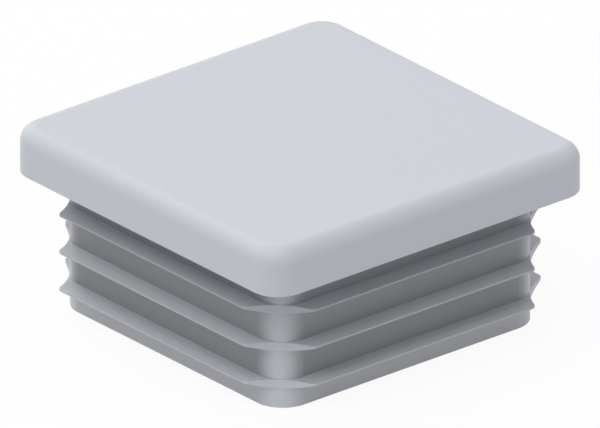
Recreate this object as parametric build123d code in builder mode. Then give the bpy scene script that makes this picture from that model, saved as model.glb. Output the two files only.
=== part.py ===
from build123d import *
import math
import os

# Square tube end cap, one moulded piece, in millimetres.
# The origin is the middle of the plug's open rim, and +Z points up to the head that closes the tube.

# The tube that the cap closes
tube_width = 50.0
thinnest_tube_wall = 2.0
thickest_tube_wall = 4.0

# Head
head_thickness = 6.0
head_corner_radius = 3.7
head_edge_radius = 2.0

# Plug
plug_clearance = 0.2
plug_corner_radius = 3.9
plug_wall = 2.0
lead_in = 2.55
roof_thickness = 3.0
roof_fillet = 1.0
mould_draft = 1.0

# Lamellae, the thin blades that grip the tube's inner wall
lamella_count = 3
lamella_pitch = 4.95
first_lamella_drop = 3.85
lamella_squeeze = 0.5
lamella_root_thickness = 1.2
lamella_tip_thickness = 0.2
lamella_corner_radius = 1.0
scoop_radius = 9.0
scoop_web = 0.05

# The plug clears the bore of the thickest wall, and the lamellae are squeezed in the bore of the thinnest
plug_width = tube_width - 2 * (thickest_tube_wall + plug_clearance)
lamella_width = tube_width - 2 * (thinnest_tube_wall - lamella_squeeze)

# The plug is as deep as its lamellae and the plain lead-in below the last one need
last_lamella_drop = first_lamella_drop + (lamella_count - 1) * lamella_pitch
plug_depth = last_lamella_drop + lamella_root_thickness + lead_in

# Outline of the plug
with BuildSketch() as plug_outline:
    RectangleRounded(plug_width, plug_width, plug_corner_radius)

# Plan of a lamella: a square as wide as its tips. A round scoop cuts each corner back to a thin web on the
# plug's own corner, so that the corners don't jam in the tube, and the points beside the scoops are rounded.
with BuildSketch() as lamella_plan:
    Rectangle(lamella_width, lamella_width)
    plug_diagonal = math.sqrt(2) * (plug_width / 2 - plug_corner_radius) + plug_corner_radius
    with PolarLocations(plug_diagonal + scoop_web + scoop_radius, 4, start_angle=45):
        Circle(scoop_radius, mode=Mode.SUBTRACT)
    fillet(lamella_plan.vertices(), lamella_corner_radius)

# One lamella: a wedge with a flat top and a sloping underside, swept round the plug and trimmed to its plan,
# which leaves the tip blunt
with BuildPart() as lamella:
    lamella_reach = (lamella_width - plug_width) / 2
    wedge_reach = lamella_reach * lamella_root_thickness / (lamella_root_thickness - lamella_tip_thickness)
    with BuildSketch(Plane.XZ):
        with BuildLine():
            Polyline(
                (plug_width / 2, 0),
                (plug_width / 2 + wedge_reach, 0),
                (plug_width / 2, -lamella_root_thickness),
                close=True,
            )
        make_face()
    sweep(path=plug_outline.wire())
    extrude(lamella_plan.sketch, amount=lamella_root_thickness, both=True, mode=Mode.INTERSECT)

# Hollow inside the plug, open at the rim and drafted so that the cap leaves the mould's core
with BuildPart() as hollow:
    hollow_width = plug_width - 2 * plug_wall
    with BuildSketch():
        RectangleRounded(hollow_width, hollow_width, plug_corner_radius - plug_wall)
    extrude(amount=plug_depth + head_thickness - roof_thickness, taper=mould_draft)
    fillet(hollow.edges().group_by(Axis.Z)[-1], roof_fillet)

# The cap: a flat head with rounded corners and a rounded upper edge, and the plug with its lamellae below it
with BuildPart() as end_cap:
    with BuildSketch(Plane.XY.offset(plug_depth)):
        RectangleRounded(tube_width, tube_width, head_corner_radius)
    extrude(amount=head_thickness)
    fillet(end_cap.edges().group_by(Axis.Z)[-1], head_edge_radius)
    extrude(plug_outline.sketch, amount=plug_depth)
    lamella_tops = [plug_depth - first_lamella_drop - row * lamella_pitch for row in range(lamella_count)]
    with Locations([(0, 0, top) for top in lamella_tops]):
        add(lamella.part)
    add(hollow.part, mode=Mode.SUBTRACT)

os.makedirs("parts", exist_ok=True)
end_cap.part.label = "end_cap"
export_step(end_cap.part, "parts/end_cap.step")
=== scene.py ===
import math

import bpy
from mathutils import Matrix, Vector

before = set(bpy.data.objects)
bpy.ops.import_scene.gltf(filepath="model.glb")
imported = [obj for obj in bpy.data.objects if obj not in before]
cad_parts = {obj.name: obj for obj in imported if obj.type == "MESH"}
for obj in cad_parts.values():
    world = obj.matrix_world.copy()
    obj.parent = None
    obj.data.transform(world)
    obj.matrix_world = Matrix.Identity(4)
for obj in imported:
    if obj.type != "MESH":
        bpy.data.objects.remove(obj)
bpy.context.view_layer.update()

# The cap: head, hollow plug and gripping lamellae, one injection moulding in light grey polyethylene.
# The mould's faces are finely spark eroded, so the skin is satin with a close grain. As the cap cooled,
# its thick parts sank a little and the pigment set in faint streaks.


class Signal:
    """A socket whose value varies over the surface, so that shader maths reads as plain sums."""

    def __init__(self, tree, socket):
        self.tree, self.socket = tree, socket

    def node(self, kind, settings, sockets, output=0):
        """Adds a node, first its settings and then the values or links of its sockets."""
        made = self.tree.nodes.new(kind)
        for name, value in settings.items():
            setattr(made, name, value)
        for name, value in sockets.items():
            if isinstance(value, Signal):
                self.tree.links.new(value.socket, made.inputs[name])
            else:
                made.inputs[name].default_value = value
        return Signal(self.tree, made.outputs[output])

    def maths(self, operation, *values):
        """The number that a Math node works out from those values."""
        return self.node("ShaderNodeMath", {"operation": operation}, dict(enumerate(values)))

    def blend(self, first, second):
        """The first colour, with this share of the second in it."""
        first_colour, second_colour, blended_colour = 6, 7, 2  # the sockets of a Mix node set to colours
        colours = {first_colour: first, second_colour: second}
        return self.node("ShaderNodeMix", {"data_type": "RGBA"}, {"Factor": self} | colours, blended_colour)

    def __add__(self, other):
        return self.maths("ADD", self, other)

    def __sub__(self, other):
        return self.maths("SUBTRACT", self, other)

    def __rsub__(self, other):
        return self.maths("SUBTRACT", other, self)

    def __mul__(self, other):
        return self.maths("MULTIPLY", self, other)

    def __lt__(self, other):
        return self.maths("LESS_THAN", self, other)

    def __gt__(self, other):
        return self.maths("GREATER_THAN", self, other)

    def __abs__(self):
        return self.maths("ABSOLUTE", self)

    __radd__, __rmul__ = __add__, __mul__


def satin_polyethylene():
    """Satin grey polyethylene, with shade painted on the plug: greyer and darker than the head, and darkest
    between the lamellae.
    """
    material = bpy.data.materials.new("satin_polyethylene")
    material.use_nodes = True
    tree = material.node_tree
    shader = tree.nodes["Principled BSDF"]
    surface = tree.nodes.new("ShaderNodeTexCoord")
    place, facing = Signal(tree, surface.outputs["Object"]), Signal(tree, surface.outputs["Normal"])

    def noise(blot, detail, at=place):
        """A cloudy pattern from 0 to 1, with blots of about that size in metres."""
        return at.node("ShaderNodeTexNoise", {}, {"Vector": at, "Scale": 1 / blot, "Detail": detail})

    def axes(vector):
        """The three parts of a vector."""
        return (vector.node("ShaderNodeSeparateXYZ", {}, {"Vector": vector}, axis) for axis in range(3))

    # Which skin it is: on the plug, up to a hair below the shoulder, or on the head; outside or in the
    # hollow; upright or level; and turned from 0 on a flat side to 1 half way round a rounded corner
    plug_depth, hair, hollow_reach = 0.0175, 0.00005, 0.0192
    across, along, height = axes(place)
    reach = place.maths("MAXIMUM", abs(across), abs(along))
    on_plug, outside = height < plug_depth - hair, reach > hollow_reach
    sideways, forwards, level = (abs(part) for part in axes(facing))
    upright, turned = 1 - level, 2.0 * sideways * forwards * outside

    # Pigment in streaks that follow the melt's flow across the mould, and a greyer tint of painted shade on
    # the plug that fades where it turns a corner
    pale_grey, cool_grey = (0.606, 0.629, 0.684, 1), (0.592, 0.615, 0.671, 1)
    shaded_plug_grey, painted_slot_shade = (0.620, 0.627, 0.655, 1), (0.305, 0.311, 0.333, 1)
    streak_width, streak_length_share, flow_turn = 0.009, 0.25, 0.6
    flow = place.node(
        "ShaderNodeMapping",
        {},
        {"Vector": place, "Rotation": (0, 0, flow_turn), "Scale": (1, streak_length_share, 1)},
    )
    streaks = noise(streak_width, 3, flow)
    # The plug's greyer tint is painted shade, weaker at its rounded corners
    shaded_plug_share = 0.6 * on_plug * (1 - turned)
    skin = shaded_plug_share.blend(streaks.blend(cool_grey, pale_grey), shaded_plug_grey)

    # The plug's colour carries a painted part of its shade, which these lamps don't lay by themselves. Its
    # upright
    #     # faces get darker from the rim up to the shoulder, and less so where they turn a corner; its
    #     level faces are a little darker all over.
    rise = height * (1 / plug_depth)
    side_painted_shade, corner_shade_relief, level_painted_shade = 0.03 + 0.385 * rise, 0.18 - 0.1225 * rise, 0.12
    painted_shade = on_plug * (level_painted_shade * level + upright * (side_painted_shade - corner_shade_relief * turned))
    # Painted shade: the plug's colour scaled darker
    shaded_skin = skin.node("ShaderNodeVectorMath", {"operation": "SCALE"}, {0: skin, "Scale": 1 - painted_shade})

    # The walls between the lamellae carry the most of it, and that ends at the plug's rounded corners. All
    # of this shade was fitted to the photograph and isn't a known trait of the plastic.
    lead_in, wall_reach = 0.00255, 0.0212
    between = on_plug * outside * (height > lead_in + hair) * (reach < wall_reach)
    slot_shade_share = between * upright * (1 - turned)
    # Painted shade on the walls between the lamellae
    tree.links.new(slot_shade_share.blend(shaded_skin, painted_slot_shade).socket, shader.inputs["Base Color"])

    # Satin from the eroded mould, whose close grain lies on slow waves of sink, both in metres
    grain_width, grain_depth, sink_width, sink_depth = 0.00022, 0.000003, 0.016, 0.00003
    erosion = noise(grain_width, 2)
    roughness = 0.43 + 0.06 * streaks + 0.04 * erosion
    tree.links.new(roughness.socket, shader.inputs["Roughness"])
    relief = sink_depth * noise(sink_width, 1) + grain_depth * erosion
    bump = relief.node("ShaderNodeBump", {}, {"Height": relief, "Distance": 1.0, "Strength": 1.0})
    tree.links.new(bump.socket, shader.inputs["Normal"])
    return material


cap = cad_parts["end_cap"]
cap.material_slots[0].material = satin_polyethylene()

# The floor: a sheet of matt white board that the loose cap stands on, rim down.
# The camera and mirrors see it as white paper, with a trace of the cap's shadow left on it.
for thing in bpy.context.selected_objects:
    thing.select_set(False)
floor_width = 4
bpy.ops.mesh.primitive_plane_add(size=floor_width, location=(0, 0, 0))
floor = bpy.context.active_object
floor.name = "floor"


def seen_directly(tree):
    """1 for the camera's own rays and for those by way of gloss or glass, and 0 for the light's."""
    path = tree.nodes.new("ShaderNodeLightPath")
    rays = ("Is Camera Ray", "Is Glossy Ray", "Is Transmission Ray")
    camera_ray, glossy_ray, glass_ray = (Signal(tree, path.outputs[ray]) for ray in rays)
    seen = camera_ray + glossy_ray + glass_ray
    return seen.maths("MINIMUM", seen, 1.0)


board = bpy.data.materials.new("white_board")
board.use_nodes = True
board_tree = board.node_tree
board_tree.nodes.remove(board_tree.nodes["Principled BSDF"])
direct = seen_directly(board_tree)
board_white, paper_white, shadow_kept = (0.8, 0.8, 0.8, 1), (1, 1, 1, 1), 0.08
matt = direct.node("ShaderNodeBsdfDiffuse", {}, {"Color": direct.blend(board_white, paper_white)})
paper = direct.node("ShaderNodeEmission", {}, {"Color": paper_white, "Strength": 1.0})
sheet = direct.node("ShaderNodeMixShader", {}, {"Fac": (1 - shadow_kept) * direct, 1: matt, 2: paper})
board_tree.links.new(sheet.socket, board_tree.nodes["Material Output"].inputs["Surface"])
floor.data.materials.append(board)

# The light: a white cloth tent all round, and three soft round lamps on stands, one overhead, one above
# the near left side and one low behind. A lamp's share is the light that it lays on a face turned to it,
# where a tent of strength 1 on its own would show white as white.
tent = bpy.data.worlds.new("white_tent")
bpy.context.scene.world = tent
tent.use_nodes = True
cloth = tent.node_tree.nodes["Background"]
cloth.inputs["Color"].default_value = (1, 1, 1, 1)
tent_light = 0.505
tent_strength = tent_light + (1 - tent_light) * seen_directly(tent.node_tree)
tent.node_tree.links.new(tent_strength.socket, cloth.inputs["Strength"])


def seen_from(turn, rise):
    """The way towards a place that is that far round from the near left side, and that high, in degrees."""
    turn, rise = math.radians(turn), math.radians(rise)
    return Vector((math.sin(turn) * math.cos(rise), -math.cos(turn) * math.cos(rise), math.sin(rise)))


def aim(thing, way, distance, target):
    """Sets a lamp or camera at that distance from the target, looking back at it."""
    thing.location = target + way * distance
    thing.rotation_mode = "QUATERNION"
    thing.rotation_quaternion = way.to_track_quat("Z", "Y")
    bpy.context.scene.collection.objects.link(thing)


lamp_distance, lamp_width = 1.75, 1.5
for name, turn, rise, share in (
    ("overhead_lamp", 0, 90, 0.103),
    ("near_left_lamp", 0, 60, 0.246),
    ("back_lamp", 262, 31, 0.200),
):
    lamp = bpy.data.lights.new(name, "AREA")
    lamp.shape = "DISK"
    lamp.size = lamp_width
    lamp.energy = share * 4 * math.pi * lamp_distance**2
    aim(bpy.data.objects.new(name, lamp), seen_from(turn, rise), lamp_distance, Vector((0, 0, 0)))

# The camera: the picture has no perspective, so it is a flat projection, turned 50 degrees from the near
# left side and 25 degrees above the floor, across a frame of 600 by 428 points.
bpy.context.scene.view_settings.view_transform = "Standard"
frame_width, points_to_the_metre = 600, 8304
lens = bpy.data.cameras.new("camera")
lens.type = "ORTHO"
lens.ortho_scale = frame_width / points_to_the_metre
camera = bpy.data.objects.new("camera", lens)
camera_distance, middle = 0.5, Vector((0, 0, 0.01284))
aim(camera, seen_from(50, 25), camera_distance, middle)
bpy.context.scene.camera = camera
